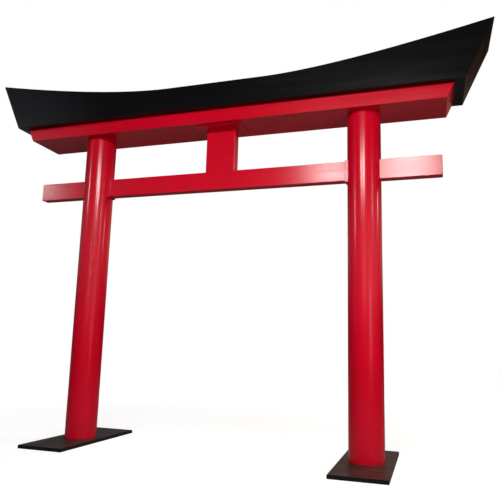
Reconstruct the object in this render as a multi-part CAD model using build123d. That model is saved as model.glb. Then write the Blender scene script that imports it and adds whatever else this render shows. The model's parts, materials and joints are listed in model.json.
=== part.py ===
from build123d import *
import os
from math import cos, radians, tan

# Free-standing torii gate in millimetres, made of round pipe and painted board.
# The origin is on the floor midway between the posts. +X runs along the beams, +Y runs
# through the gateway from front to back and +Z is up. Front and back are alike.

# Foot plates, long from front to back
plate_width = 375
plate_depth = 1020
plate_thickness = 25

# Posts (hashira), straight round pipe
post_spacing = 2300
post_diameter = 250
post_wall = 7.3

# Tie beam (nuki), one timber through both posts
nuki_length = 3415
nuki_height = 148
nuki_thickness = 82
nuki_underside = 2030

# Sleeves that carry the tie beam through the posts
sleeve_wall = 9.5
sleeve_reach = 14
slide_gap = 0.3

# Centre strut (gakuzuka) and the plate that fixes it under the lintel
strut_width = 250
head_plate_width = 400
head_plate_depth = 290
head_plate_thickness = 9

# Lower lintel (shimaki), a box of boards; its length is that of its lower edge
shimaki_underside = 2545
shimaki_length = 3498
shimaki_depth = 367
shimaki_height = 110

# Upper lintel (kasagi), a box of boards under a bent sheet; its length is that of its lower edge
kasagi_length = 3744
kasagi_depth = 478
kasagi_middle_height = 200
kasagi_tip_height = 422
kasagi_level_length = 800
kasagi_tip_slope = 11.3

# Both lintels
end_lean = 25.5
board_thickness = 18
sheet_thickness = 9

# Outer arrises, taken off at 45 degrees before painting
arris = 2

kasagi_underside = shimaki_underside + shimaki_height
sleeve_opening_height = nuki_height + 2 * slide_gap
sleeve_opening_depth = nuki_thickness + 2 * slide_gap
sleeve_height = sleeve_opening_height + 2 * sleeve_wall
sleeve_depth = sleeve_opening_depth + 2 * sleeve_wall
nuki_middle = nuki_underside + nuki_height / 2


def board_from_outline(outline, y_front, y_back):
    # an outline drawn in the X-Z plane becomes a board from y_front to y_back
    return Pos(0, y_back, 0) * extrude(Plane.XZ * outline, amount=y_back - y_front)


def foot_plate(x):
    plate = Box(plate_width, plate_depth, plate_thickness)
    corners = plate.edges().filter_by(Axis.Z)
    rim = plate.faces().sort_by(Axis.Z)[-1].edges()
    return Pos(x, 0, plate_thickness / 2) * chamfer(corners + rim, arris)


def post(x):
    height = shimaki_underside - plate_thickness
    middle = plate_thickness + height / 2
    pipe = Cylinder(post_diameter / 2, height) - Cylinder(post_diameter / 2 - post_wall, height)
    slot = Box(2 * post_diameter, sleeve_depth + 2 * slide_gap, sleeve_height + 2 * slide_gap)
    return Pos(x, 0, middle) * pipe - Pos(x, 0, nuki_middle) * slot


def nuki_sleeve(x):
    length = post_diameter + 2 * sleeve_reach
    outside = Box(length, sleeve_depth, sleeve_height)
    ends = outside.faces().filter_by(Axis.X)
    outside = chamfer(ends.edges(), arris)
    opening = Box(2 * length, sleeve_opening_depth, sleeve_opening_height)
    return Pos(x, 0, nuki_middle) * (outside - opening)


def nuki_beam():
    timber = Box(nuki_length, nuki_thickness, nuki_height)
    return Pos(0, 0, nuki_middle) * chamfer(timber.edges(), arris)


def gakuzuka_strut():
    base = nuki_underside + nuki_height
    height = shimaki_underside - head_plate_thickness - base
    strut = Box(strut_width, nuki_thickness, height)
    corners = strut.edges().filter_by(Axis.Z)
    return Pos(0, 0, base + height / 2) * chamfer(corners, arris)


def strut_head_plate():
    plate = Box(head_plate_width, head_plate_depth, head_plate_thickness)
    corners = plate.edges().filter_by(Axis.Z)
    rim = plate.faces().sort_by(Axis.Z)[0].edges()
    plate = chamfer(corners + rim, arris)
    return Pos(0, 0, shimaki_underside - head_plate_thickness / 2) * plate


def end_spread(height):
    # how far a leaning end has moved outwards at this height above the lower edge
    return height * tan(radians(end_lean))


def leaning_strip(lower_half, underside, height, side):
    # outline of an end board, its outer line leaning out from the lower corner
    width = board_thickness / cos(radians(end_lean))
    spread = end_spread(height)
    corners = [
        (side * lower_half, underside),
        (side * (lower_half + spread), underside + height),
        (side * (lower_half + spread - width), underside + height),
        (side * (lower_half - width), underside),
    ]
    return make_face(Polyline(*corners, close=True))


def soffit_outline(lower_half, underside):
    # a board between the leaning end boards, its ends bevelled to them
    inner_half = lower_half - board_thickness / cos(radians(end_lean))
    spread = end_spread(board_thickness)
    corners = [
        (-inner_half, underside),
        (inner_half, underside),
        (inner_half + spread, underside + board_thickness),
        (-inner_half - spread, underside + board_thickness),
    ]
    return make_face(Polyline(*corners, close=True))


def shimaki_outline():
    half = shimaki_length / 2
    spread = end_spread(shimaki_height)
    corners = [
        (-half, shimaki_underside),
        (half, shimaki_underside),
        (half + spread, kasagi_underside),
        (-half - spread, kasagi_underside),
    ]
    return make_face(Polyline(*corners, close=True))


def kasagi_outline():
    # level in the middle, then one long upward sweep to each tip
    half = kasagi_length / 2
    tip_x = half + end_spread(kasagi_tip_height)
    tip_z = kasagi_underside + kasagi_tip_height
    level_x = kasagi_level_length / 2
    level_z = kasagi_underside + kasagi_middle_height
    bend_x = tip_x - (tip_z - level_z) / tan(radians(kasagi_tip_slope))
    right_sweep = Bezier((tip_x, tip_z), (bend_x, level_z), (level_x, level_z))
    left_sweep = Bezier((-level_x, level_z), (-bend_x, level_z), (-tip_x, tip_z))
    lower = Polyline((-tip_x, tip_z), (-half, kasagi_underside), (half, kasagi_underside), (tip_x, tip_z))
    level = Line((level_x, level_z), (-level_x, level_z))
    return make_face(lower + right_sweep + level + left_sweep)


def lintel_face_board(outline, depth, side):
    # the front board has side -1, the back board has side +1
    outer = side * depth / 2
    inner = outer - side * board_thickness
    board = board_from_outline(outline, min(outer, inner), max(outer, inner))
    outer_face = board.faces().filter_by(Axis.Y).sort_by(Axis.Y, reverse=side > 0)[0]
    return chamfer(outer_face.edges(), arris)


def between_face_boards(outline, depth):
    inner = depth / 2 - board_thickness
    return board_from_outline(outline, -inner, inner)


def shimaki_end(side):
    strip = leaning_strip(shimaki_length / 2, shimaki_underside, shimaki_height, side)
    return between_face_boards(strip, shimaki_depth)


def shimaki_soffit():
    return between_face_boards(soffit_outline(shimaki_length / 2, shimaki_underside), shimaki_depth)


def kasagi_under_sheet():
    # what lies under the bent sheet
    return Pos(0, -sheet_thickness) * kasagi_outline()


def kasagi_end(side):
    strip = leaning_strip(kasagi_length / 2, kasagi_underside, kasagi_tip_height, side)
    return between_face_boards(strip & kasagi_under_sheet(), kasagi_depth)


def kasagi_soffit():
    return between_face_boards(soffit_outline(kasagi_length / 2, kasagi_underside), kasagi_depth)


def kasagi_top_sheet():
    # bent over the ends and let in between the face boards, flush with their top edges
    return between_face_boards(kasagi_outline() - kasagi_under_sheet(), kasagi_depth)


half_spacing = post_spacing / 2
nodes = {
    "nuki_beam": nuki_beam(),
    "gakuzuka_strut": gakuzuka_strut(),
    "strut_head_plate": strut_head_plate(),
    "shimaki_front_board": lintel_face_board(shimaki_outline(), shimaki_depth, -1),
    "shimaki_back_board": lintel_face_board(shimaki_outline(), shimaki_depth, 1),
    "shimaki_soffit": shimaki_soffit(),
    "kasagi_front_board": lintel_face_board(kasagi_outline(), kasagi_depth, -1),
    "kasagi_back_board": lintel_face_board(kasagi_outline(), kasagi_depth, 1),
    "kasagi_soffit": kasagi_soffit(),
    "kasagi_top_sheet": kasagi_top_sheet(),
}
for side_name, side in (("left", -1), ("right", 1)):
    nodes[f"foot_plate_{side_name}"] = foot_plate(side * half_spacing)
    nodes[f"post_{side_name}"] = post(side * half_spacing)
    nodes[f"nuki_sleeve_{side_name}"] = nuki_sleeve(side * half_spacing)
    nodes[f"shimaki_end_{side_name}"] = shimaki_end(side)
    nodes[f"kasagi_end_{side_name}"] = kasagi_end(side)

os.makedirs("parts", exist_ok=True)
for name, shape in nodes.items():
    export_step(shape, f"parts/{name}.step")
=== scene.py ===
import json
import math

import bmesh
import bpy
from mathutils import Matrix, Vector


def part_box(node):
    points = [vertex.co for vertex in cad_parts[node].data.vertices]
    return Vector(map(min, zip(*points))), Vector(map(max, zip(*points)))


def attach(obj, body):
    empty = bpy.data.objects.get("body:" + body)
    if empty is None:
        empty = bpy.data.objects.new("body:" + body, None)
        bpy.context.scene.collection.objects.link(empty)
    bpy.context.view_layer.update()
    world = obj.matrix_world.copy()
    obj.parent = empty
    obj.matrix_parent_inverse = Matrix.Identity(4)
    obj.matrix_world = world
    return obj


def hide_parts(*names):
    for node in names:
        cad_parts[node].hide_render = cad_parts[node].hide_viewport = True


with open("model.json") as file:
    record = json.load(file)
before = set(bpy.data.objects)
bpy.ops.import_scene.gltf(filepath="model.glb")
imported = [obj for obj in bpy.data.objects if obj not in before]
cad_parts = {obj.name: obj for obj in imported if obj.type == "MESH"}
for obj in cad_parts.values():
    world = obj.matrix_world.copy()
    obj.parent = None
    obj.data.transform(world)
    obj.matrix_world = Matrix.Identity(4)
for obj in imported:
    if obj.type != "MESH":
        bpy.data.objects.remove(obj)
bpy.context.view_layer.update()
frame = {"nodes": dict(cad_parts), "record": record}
nodes = frame["nodes"]
print("frame loaded with", len(nodes), "nodes")


def newMaterial(name):
    mat = bpy.data.materials.new(name)
    mat.use_nodes = True
    return mat, mat.node_tree, mat.node_tree.nodes["Principled BSDF"]


def coordinates(tree, kind):
    return tree.nodes.new("ShaderNodeTexCoord").outputs[kind]


def splitAxes(tree, vector):
    split = tree.nodes.new("ShaderNodeSeparateXYZ")
    tree.links.new(vector, split.inputs[0])
    return split.outputs


def mixColours(tree, factor, first, second):
    # each end is a colour or the output of another node
    mix = tree.nodes.new("ShaderNodeMix")
    mix.data_type = "RGBA"
    for socket, colour in ((mix.inputs[6], first), (mix.inputs[7], second)):    # its colour sockets
        if isinstance(colour, tuple):
            socket.default_value = (*colour, 1)
        else:
            tree.links.new(colour, socket)
    tree.links.new(factor, mix.inputs[0])
    return mix.outputs[2]


def combine(tree, operation, first, second):
    maths = tree.nodes.new("ShaderNodeMath")
    maths.operation = operation
    tree.links.new(first, maths.inputs[0])
    tree.links.new(second, maths.inputs[1])
    return maths.outputs[0]


def spread(tree, value, low, high, fromLow=0.3, fromHigh=0.7):
    # maps fromLow..fromHigh to low..high; noise mostly keeps within 0.3..0.7
    ramp = tree.nodes.new("ShaderNodeMapRange")
    ramp.inputs["From Min"].default_value = fromLow
    ramp.inputs["From Max"].default_value = fromHigh
    ramp.inputs["To Min"].default_value = low
    ramp.inputs["To Max"].default_value = high
    tree.links.new(value, ramp.inputs["Value"])
    return ramp.outputs["Result"]


def band(tree, value, start, end):
    # rises from 0 to 1 over start and falls back over end
    return combine(tree, "MULTIPLY", spread(tree, value, 0, 1, *start), spread(tree, value, 1, 0, *end))


# a noise is given by its scale (lumps in a metre), its detail and how it is squeezed along each axis;
# where it makes relief, by its depth in metres as well

def noiseAt(tree, place, look):
    squeeze = tree.nodes.new("ShaderNodeMapping")
    squeeze.inputs["Scale"].default_value = look.get("squeeze", (1, 1, 1))
    tree.links.new(place, squeeze.inputs["Vector"])
    noise = tree.nodes.new("ShaderNodeTexNoise")
    noise.inputs["Scale"].default_value = look["scale"]
    noise.inputs["Detail"].default_value = look["detail"]
    tree.links.new(squeeze.outputs["Vector"], noise.inputs["Vector"])
    return noise.outputs["Fac"]


def addPatches(tree, shader, place, look):
    # the deep and the fresh colour run into each other
    patches = noiseAt(tree, place, look["patches"])
    colour = mixColours(tree, spread(tree, patches, 0, 1), look["deep"], look["fresh"])
    tree.links.new(colour, shader.inputs["Base Color"])


def addLaps(tree, shader, place, look):
    # gloss that changes from one lap of paint to the next
    laps = noiseAt(tree, place, look["laps"])
    tree.links.new(spread(tree, laps, *look["gloss"]), shader.inputs["Roughness"])


def addRelief(tree, shader, place, *layers):
    # each layer lies on the one before it
    normal = None
    for layer in layers:
        bump = tree.nodes.new("ShaderNodeBump")
        bump.inputs["Distance"].default_value = layer["depth"]
        tree.links.new(noiseAt(tree, place, layer), bump.inputs["Height"])
        if normal:
            tree.links.new(normal, bump.inputs["Normal"])
        normal = bump.outputs["Normal"]
    tree.links.new(normal, shader.inputs["Normal"])


redBoard = {
    "deep": (0.50, 0.0008, 0.0125),
    "fresh": (0.56, 0.0012, 0.0165),
    "patches": {"scale": 3.1, "detail": 5},
    "gloss": (0.18, 0.23),          # roughness, lowest and highest
    "laps": {"scale": 5.0, "detail": 4, "squeeze": (0.25, 1, 4)},
    "shine": 0.30,                  # specular level
    "waves": {"scale": 2.2, "detail": 1, "depth": 0.0008},      # of the board itself
    "strokes": {"scale": 110, "detail": 2, "depth": 0.00007, "squeeze": (0.02, 1, 1)},  # of the brush
    "stipple": {"scale": 330, "detail": 2, "depth": 0.00006},   # of the roller
}


def paintRedBoard():
    mat, tree, shader = newMaterial("redBoardPaint")
    shader.inputs["Specular IOR Level"].default_value = redBoard["shine"]
    place = coordinates(tree, "Object")
    addPatches(tree, shader, place, redBoard)
    addLaps(tree, shader, place, redBoard)
    addRelief(tree, shader, place, redBoard["waves"], redBoard["strokes"], redBoard["stipple"])
    return mat


redPost = {
    "deep": (0.50, 0.0010, 0.0130),
    "fresh": (0.56, 0.0016, 0.0170),
    "patches": {"scale": 2.4, "detail": 4},
    "gloss": (0.165, 0.205),
    "laps": {"scale": 6.0, "detail": 4, "squeeze": (3, 3, 0.5)},
    "shine": 0.30,
    "runs": {"scale": 9, "detail": 2, "depth": 0.00003, "squeeze": (4, 4, 0.3)},   # faint and upright
}


def paintRedPost():
    mat, tree, shader = newMaterial("redPostGloss")
    shader.inputs["Specular IOR Level"].default_value = redPost["shine"]
    place = coordinates(tree, "Object")
    addPatches(tree, shader, place, redPost)
    addLaps(tree, shader, place, redPost)
    addRelief(tree, shader, place, redPost["runs"])
    return mat


blackLintel = {
    "deep": (0.0028, 0.0028, 0.0030),
    "fresh": (0.0044, 0.0043, 0.0046),
    "patches": {"scale": 2.7, "detail": 5},
    "gloss": (0.18, 0.23),
    "laps": {"scale": 4.0, "detail": 4, "squeeze": (0.25, 1, 4)},
    "shine": 0.24,
    "shineBelow": 0.12,             # the underside has one coat less
    "belowTurn": (-0.9, -0.6),      # upward part of the normal where one shine turns into the other
    "waves": {"scale": 1.6, "detail": 1, "depth": 0.0008},
    "stipple": {"scale": 300, "detail": 2, "depth": 0.00006},
}


def paintBlackLintel():
    mat, tree, shader = newMaterial("blackLintelPaint")
    upward = splitAxes(tree, coordinates(tree, "Normal"))["Z"]
    shine = spread(tree, upward, blackLintel["shineBelow"], blackLintel["shine"], *blackLintel["belowTurn"])
    tree.links.new(shine, shader.inputs["Specular IOR Level"])
    place = coordinates(tree, "Object")
    addPatches(tree, shader, place, blackLintel)
    addLaps(tree, shader, place, blackLintel)
    addRelief(tree, shader, place, blackLintel["waves"], blackLintel["stipple"])
    return mat


blackPlate = {
    "deep": (0.0035, 0.0034, 0.0033),
    "worn": (0.0065, 0.0055, 0.0048),
    "dust": (0.045, 0.036, 0.029),  # lies on the top face only
    "scuffs": {"scale": 14, "detail": 8},
    "wornFrom": (0.5, 0.8),         # heights of the scuff noise where the worn colour comes through
    "dustTurn": (0.8, 1.0),         # upward part of the normal where dust begins to lie
    "dustThin": 0.5,                # share of the dust left in the scuffs' lows
    "gloss": (0.32, 0.45),
    "laps": {"scale": 7.0, "detail": 6, "squeeze": (1, 3, 1)},
    "shine": 0.25,
    "stipple": {"scale": 260, "detail": 2, "depth": 0.00008},
}


def paintBlackPlate():
    mat, tree, shader = newMaterial("blackPlatePaint")
    shader.inputs["Specular IOR Level"].default_value = blackPlate["shine"]
    place = coordinates(tree, "Object")
    scuffs = noiseAt(tree, place, blackPlate["scuffs"])
    worn = spread(tree, scuffs, 0, 1, *blackPlate["wornFrom"])
    paint = mixColours(tree, worn, blackPlate["deep"], blackPlate["worn"])
    upward = splitAxes(tree, coordinates(tree, "Normal"))["Z"]
    onTop = spread(tree, upward, 0, 1, *blackPlate["dustTurn"])
    dusty = combine(tree, "MULTIPLY", onTop, spread(tree, scuffs, blackPlate["dustThin"], 1))
    tree.links.new(mixColours(tree, dusty, paint, blackPlate["dust"]), shader.inputs["Base Color"])
    addLaps(tree, shader, place, blackPlate)
    addRelief(tree, shader, place, blackPlate["stipple"])
    return mat


paints = {
    "red_board_paint": paintRedBoard(),
    "red_post_gloss": paintRedPost(),
    "black_lintel_paint": paintBlackLintel(),
    "black_plate_paint": paintBlackPlate(),
}
slots = {part["node"]: part["material_slot"] for part in frame["record"]["subparts"]}
for name, slotName in slots.items():
    materials = nodes[name].data.materials
    materials.clear()
    materials.append(paints[slotName])
print("paints on", len(slots), "nodes")


# posts, sleeves and strut again in finer form, because the gloss shows every facet

postPipe = {
    "wall": 0.0073,
    "slotGap": 0.0003,      # left round the sleeve in its slot
    "acrossSlot": 22,       # facets over each slot
    "betweenSlots": 58,     # facets at the front, and as many at the back
}

beamSleeve = {
    "beamGap": 0.0003,
    "arris": 0.002,
    "endFacets": 12,        # across the end that is cut to the round of the post
}

strutBlock = {
    "arris": 0.006,         # rounded over, and catches the light at the right
    "arrisFacets": 6,
    "filler": 0.002,        # fills the beam's arris under the block, so that no seam shows
}


def standIn(bm, name, node):
    # takes the CAD node's place and its paint
    bmesh.ops.recalc_face_normals(bm, faces=bm.faces)
    for edge in bm.edges:
        edge.smooth = all(face.smooth for face in edge.link_faces)
    mesh = bpy.data.meshes.new(name)
    bm.to_mesh(mesh)
    bm.free()
    piece = bpy.data.objects.new(name, mesh)
    bpy.context.collection.objects.link(piece)
    mesh.materials.append(paints[slots[node]])
    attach(piece, "root")
    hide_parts(node)


def pipeRing(bm, middle, radius, slotHalf, z):
    # points round the pipe, with a facet edge at each side of both slots
    edge = math.asin(slotHalf / radius)
    turns = (
        (-edge, edge, postPipe["acrossSlot"]),
        (edge, math.pi - edge, postPipe["betweenSlots"]),
        (math.pi - edge, math.pi + edge, postPipe["acrossSlot"]),
        (math.pi + edge, 2 * math.pi - edge, postPipe["betweenSlots"]),
    )
    ring = []
    for start, end, count in turns:
        for i in range(count):
            angle = start + (end - start) * i / count
            ring.append(bm.verts.new((middle + radius * math.cos(angle), radius * math.sin(angle), z)))
    return ring


def makePost(side):
    low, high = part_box("post_" + side)
    sleeveLow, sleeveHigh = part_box("nuki_sleeve_" + side)
    gap = postPipe["slotGap"]
    middle = (low.x + high.x) / 2
    radius = (high.x - low.x) / 2
    levels = (low.z, sleeveLow.z - gap, sleeveHigh.z + gap, high.z)
    bm = bmesh.new()
    outer = [pipeRing(bm, middle, radius, sleeveHigh.y + gap, z) for z in levels]
    inner = [pipeRing(bm, middle, radius - postPipe["wall"], sleeveHigh.y + gap, z) for z in levels]
    across = postPipe["acrossSlot"]
    half = across + postPipe["betweenSlots"]
    for i in range(2 * half):
        j = (i + 1) % (2 * half)
        inSlot = i % half < across
        for wall in (outer, inner):
            for below, above in ((0, 1), (1, 2), (2, 3)):
                if not (inSlot and below == 1):
                    face = bm.faces.new((wall[below][i], wall[below][j], wall[above][j], wall[above][i]))
                    face.smooth = True
        for level in (0, 1, 2, 3) if inSlot else (0, 3):
            bm.faces.new((outer[level][i], outer[level][j], inner[level][j], inner[level][i]))
    for i in (0, across, half, half + across):      # the slots' upright sides
        bm.faces.new((outer[1][i], outer[2][i], inner[2][i], inner[1][i]))
    standIn(bm, "postPipe_" + side, "post_" + side)


def sleeveLoop(bm, halfDepth, low, high, placeAt):
    # a rectangle round the beam; placeAt gives its place along the beam
    steps = [halfDepth * (2 * i / beamSleeve["endFacets"] - 1) for i in range(beamSleeve["endFacets"] + 1)]
    corners = [(y, low) for y in steps] + [(y, high) for y in reversed(steps)]
    return [bm.verts.new((placeAt(y), y, z)) for y, z in corners]


def makeSleeve(side, outward):
    # a collar on the gateway side, cut flush with the round of the post on the other
    low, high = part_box("nuki_sleeve_" + side)
    beamLow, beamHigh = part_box("nuki_beam")
    postLow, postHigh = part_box("post_" + side)
    middle = (postLow.x + postHigh.x) / 2
    radius = (postHigh.x - postLow.x) / 2
    collarEnd = low.x if outward > 0 else high.x
    gap, arris = beamSleeve["beamGap"], beamSleeve["arris"]
    outside = (high.y, low.z, high.z)
    bore = (beamHigh.y + gap, beamLow.z - gap, beamHigh.z + gap)

    def onPost(y):
        return middle + outward * math.sqrt(radius ** 2 - y ** 2)

    bm = bmesh.new()
    loops = [
        sleeveLoop(bm, *bore, onPost),
        sleeveLoop(bm, *outside, onPost),
        sleeveLoop(bm, *outside, lambda y: collarEnd + outward * arris),
        sleeveLoop(bm, high.y - arris, low.z + arris, high.z - arris, lambda y: collarEnd),
        sleeveLoop(bm, *bore, lambda y: collarEnd),
    ]
    for first, second in zip(loops, loops[1:] + loops[:1]):
        for i in range(len(first)):
            j = (i + 1) % len(first)
            bm.faces.new((first[i], first[j], second[j], second[i]))
    standIn(bm, "beamSleeve_" + side, "nuki_sleeve_" + side)


def makeStrut():
    low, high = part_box("gakuzuka_strut")
    arris, facets = strutBlock["arris"], strutBlock["arrisFacets"]
    corners = (
        (high.x - arris, high.y - arris, 0),
        (low.x + arris, high.y - arris, 90),
        (low.x + arris, low.y + arris, 180),
        (high.x - arris, low.y + arris, 270),
    )
    outline = []
    for x, y, start in corners:
        for i in range(facets + 1):
            turn = math.radians(start + 90 * i / facets)
            outline.append((x + arris * math.cos(turn), y + arris * math.sin(turn)))
    bm = bmesh.new()
    levels = (low.z - strutBlock["filler"], high.z)
    bottom, top = [[bm.verts.new((x, y, z)) for x, y in outline] for z in levels]
    for i in range(len(outline)):
        j = (i + 1) % len(outline)
        face = bm.faces.new((bottom[i], bottom[j], top[j], top[i]))
        face.smooth = i % (facets + 1) < facets     # the wide faces between stay flat
    bm.faces.new(bottom)
    bm.faces.new(top)
    standIn(bm, "strutBlock", "gakuzuka_strut")


for side, outward in (("left", -1), ("right", 1)):
    makePost(side)
    makeSleeve(side, outward)
makeStrut()
print("posts, sleeves and strut in their finer form")


# floor and surround

floorLook = {
    "reach": 30.0,          # metres from the gate
    "bounce": 0.35,         # grey that lights the gate from below
    "grain": {"scale": 1.5, "detail": 3},
    "grainTones": (0.97, 1.03),           # darkest and lightest share of that grey
    "roughness": 0.9,
    "pale": (0.80, 1.0),                  # how white it shows near and far, before lamp light is added
    "fade": (1.5, 5.0),                   # metres from the gate where near turns into far
    "mirrored": (0.022, 0.017, 0.017),    # what the paint mirrors of it
    "paintedGlowRight": (0.155, 0.145, 0.140),  # painted reflection: a strip of it behind the gate glows as if lit, seen only in the gloss
    "paintedGlowLeft": (0.40, 0.40, 0.42),
    "paintedGlowTurn": (-7.0, -5.6),            # where left turns into right
    "paintedGlowFrom": (2.5, 4.0),              # where the painted glow fades in and out
    "paintedGlowTo": (4.8, 6.2),
}

roomGlow = {                # what the paint mirrors of the room
    "frontLeft": (0.57, 0.53, 0.66),      # a band above the floor line
    "frontRight": (1.66, 1.56, 1.65),
    "behindLeft": (0.30, 0.29, 0.29),
    "behindRight": (0.95, 0.50, 0.39),
    "frontFoot": (0.02, 0.22),            # where the band fades in and out, as the sine of its height
    "behindFoot": (0.07, 0.16),
    "head": (0.18, 0.30),
    "aboveFront": (0.044, 0.030, 0.044),  # the ceiling over the band
    "aboveLeft": (0.010, 0.030, 0.035),
    "aboveRight": (0.003, 0.006, 0.003),
    "backTurn": (-0.3, 0.3),              # where front turns into back
    "frontTurn": (-0.7, 0.7),             # where left turns into right
    "behindTurn": (-0.5, 0.0),
    "white": (1.0, 1.0, 1.0),             # what the camera sees behind the gate
    "fill": 0.01,                         # soft light from all round
}


def clearSight(tree):
    # 1 to the camera and through clear things
    path = tree.nodes.new("ShaderNodeLightPath")
    return combine(tree, "MAXIMUM", path.outputs["Is Camera Ray"], path.outputs["Is Transmission Ray"])


def anySight(tree, clear):
    # the same, and 1 to mirroring surfaces as well
    path = tree.nodes.new("ShaderNodeLightPath")
    return combine(tree, "MAXIMUM", clear, path.outputs["Is Glossy Ray"])


def paintFloor():
    mat, tree, shader = newMaterial("floorPaint")
    shader.inputs["Roughness"].default_value = floorLook["roughness"]
    shader.inputs["Specular IOR Level"].default_value = 0
    place = coordinates(tree, "Object")
    greys = [(floorLook["bounce"] * tone,) * 3 for tone in floorLook["grainTones"]]
    grain = mixColours(tree, noiseAt(tree, place, floorLook["grain"]), *greys)
    tree.links.new(grain, shader.inputs["Base Color"])

    distance = tree.nodes.new("ShaderNodeVectorMath")
    distance.operation = "LENGTH"
    tree.links.new(place, distance.inputs[0])
    pale = spread(tree, distance.outputs["Value"], *floorLook["pale"], *floorLook["fade"])
    axes = splitAxes(tree, place)
    # painted reflection: a glowing strip of floor behind the gate, which only mirroring surfaces see
    sideways = spread(tree, axes["X"], 0, 1, *floorLook["paintedGlowTurn"])
    shine = mixColours(tree, sideways, floorLook["paintedGlowLeft"], floorLook["paintedGlowRight"])
    paintedGlowStrip = band(tree, axes["Y"], floorLook["paintedGlowFrom"], floorLook["paintedGlowTo"])
    mirrored = mixColours(tree, paintedGlowStrip, floorLook["mirrored"], shine)
    clear = clearSight(tree)
    tree.links.new(mixColours(tree, clear, mirrored, pale), shader.inputs["Emission Color"])
    tree.links.new(anySight(tree, clear), shader.inputs["Emission Strength"])
    return mat


def makeFloor():
    bm = bmesh.new()
    bmesh.ops.create_grid(bm, x_segments=8, y_segments=8, size=floorLook["reach"])
    mesh = bpy.data.meshes.new("floor")
    bm.to_mesh(mesh)
    bm.free()
    mesh.materials.append(paintFloor())
    floor = bpy.data.objects.new("floor", mesh)
    bpy.context.collection.objects.link(floor)


def roomColour(tree):
    east, north, up = splitAxes(tree, coordinates(tree, "Generated"))
    backwards = spread(tree, north, 0, 1, *roomGlow["backTurn"])
    frontTurn = spread(tree, east, 0, 1, *roomGlow["frontTurn"])
    behindTurn = spread(tree, east, 0, 1, *roomGlow["behindTurn"])
    aboveBehind = mixColours(tree, behindTurn, roomGlow["aboveLeft"], roomGlow["aboveRight"])
    ceiling = mixColours(tree, backwards, roomGlow["aboveFront"], aboveBehind)
    frontGlow = mixColours(tree, frontTurn, roomGlow["frontLeft"], roomGlow["frontRight"])
    frontBand = band(tree, up, roomGlow["frontFoot"], roomGlow["head"])
    front = mixColours(tree, frontBand, ceiling, frontGlow)
    behindGlow = mixColours(tree, behindTurn, roomGlow["behindLeft"], roomGlow["behindRight"])
    behindBand = band(tree, up, roomGlow["behindFoot"], roomGlow["head"])
    behind = mixColours(tree, behindBand, ceiling, behindGlow)
    return mixColours(tree, backwards, front, behind)


def makeSurround():
    world = bpy.data.worlds.new("surround")
    bpy.context.scene.world = world
    world.use_nodes = True
    tree = world.node_tree
    tree.nodes.clear()
    clear = clearSight(tree)
    seen = tree.nodes.new("ShaderNodeBackground")
    tree.links.new(mixColours(tree, clear, roomColour(tree), roomGlow["white"]), seen.inputs["Color"])
    fill = tree.nodes.new("ShaderNodeBackground")
    fill.inputs["Strength"].default_value = roomGlow["fill"]
    fill.inputs["Color"].default_value = (1, 1, 1, 1)
    mix = tree.nodes.new("ShaderNodeMixShader")
    tree.links.new(anySight(tree, clear), mix.inputs[0])
    tree.links.new(fill.outputs[0], mix.inputs[1])
    tree.links.new(seen.outputs[0], mix.inputs[2])
    out = tree.nodes.new("ShaderNodeOutputWorld")
    tree.links.new(mix.outputs[0], out.inputs[0])


makeFloor()
makeSurround()
print("floor and surround ready")


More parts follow.
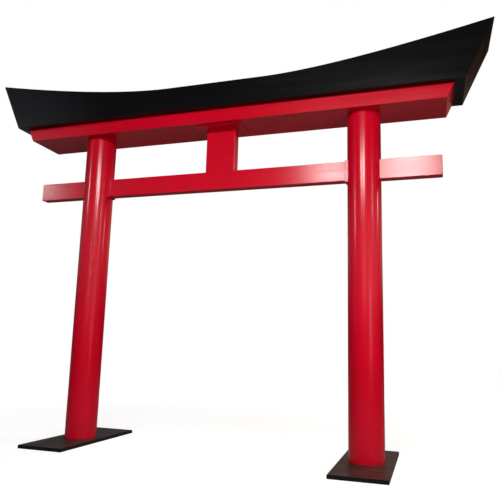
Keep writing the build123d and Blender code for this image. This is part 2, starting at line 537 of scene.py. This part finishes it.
lamps = {                   # metres and watts; "mirrored": False keeps a lamp out of the gloss
    "mainLeft": {"place": (0.24, -4.00, 3.37), "size": (0.46, 0.4), "power": 43,
                 "colour": (1, 0.98, 0.97)},
    "mainRight": {"place": (1.33, -4.00, 3.37), "size": (0.76, 0.4), "power": 70,
                  "colour": (1, 0.98, 0.97)},
    "leftLamp": {"place": (-4.70, -3.40, 3.36), "size": (0.5, 0.5), "power": 23,
                 "colour": (1, 0.96, 1)},
    "highLeftLamp": {"place": (-5.60, -4.40, 4.80), "size": (2.0, 1.5), "power": 3.4,
                     "colour": (0.85, 0.9, 1)},
    "rightLamp": {"place": (9.0, -4.6, 4.3), "size": (0.5, 0.6), "power": 31,
                  "colour": (1, 0.92, 0.97)},
    "sideLamp": {"place": (6.0, 1.2, 3.1), "size": (0.4, 0.4), "power": 15,
                 "colour": (1, 0.88, 0.86)},
    "strutLamp": {"place": (1.25, 3.0, 3.35), "size": (0.8, 0.7), "power": 1.0,
                  "colour": (1, 0.5, 0.46), "aim": (0.125, 0, 2.3)},
    "backLamp": {"place": (3.0, 2.6, 5.8), "size": (1.0, 1.0), "power": 104,
                 "colour": (1, 0.95, 0.88)},
    "lowFill": {"place": (0.6, -4.6, 1.95), "size": (3.0, 0.3), "power": 7,
                "colour": (1, 0.97, 0.95), "aim": (-0.1, 0, 1.15), "beam": 50, "mirrored": False},
    "rightFill": {"place": (4.0, -3.4, 1.3), "size": (1.2, 1.2), "power": 23,
                  "colour": (1, 0.97, 0.95), "aim": (0.6, 0, 1.3), "beam": 90, "mirrored": False},
    "rearFill": {"place": (-0.8, 5.2, 2.7), "size": (3.0, 1.5), "power": 30,
                 "colour": (1, 0.98, 0.96), "aim": (0, 0, 2.0), "beam": 65, "mirrored": False},
}
lampDefaults = {"aim": (0, 0, 1.8), "beam": 180, "mirrored": True}


def addLamp(name, lamp):
    lamp = {**lampDefaults, **lamp}
    data = bpy.data.lights.new(name, "AREA")
    data.shape = "RECTANGLE"
    data.size, data.size_y = lamp["size"]
    data.energy = lamp["power"]
    data.color = lamp["colour"]
    data.spread = math.radians(lamp["beam"])
    obj = bpy.data.objects.new(name, data)
    obj.location = lamp["place"]
    aim = Vector(lamp["aim"]) - Vector(lamp["place"])
    obj.rotation_euler = aim.to_track_quat("-Z", "Y").to_euler()
    obj.visible_glossy = lamp["mirrored"]
    bpy.context.collection.objects.link(obj)


for name, lamp in lamps.items():
    addLamp(name, lamp)
print("lamps:", len(lamps))


cameraSet = {
    "place": (1.6039, -4.0585, 0.7883),
    "turn": (99.712, -1.498, 17.861),   # degrees
    "lens": 39.878,                     # millimetres, as is the sensor
    "sensor": 36,
    "shift": (-0.0031, 0.0029),
}


def addCamera():
    data = bpy.data.cameras.new("camera")
    data.lens = cameraSet["lens"]
    data.sensor_width = cameraSet["sensor"]
    data.shift_x, data.shift_y = cameraSet["shift"]
    obj = bpy.data.objects.new("camera", data)
    obj.location = cameraSet["place"]
    obj.rotation_euler = [math.radians(angle) for angle in cameraSet["turn"]]
    bpy.context.collection.objects.link(obj)
    bpy.context.scene.camera = obj


addCamera()
bpy.context.scene.view_settings.view_transform = "Standard"
print("camera ready")
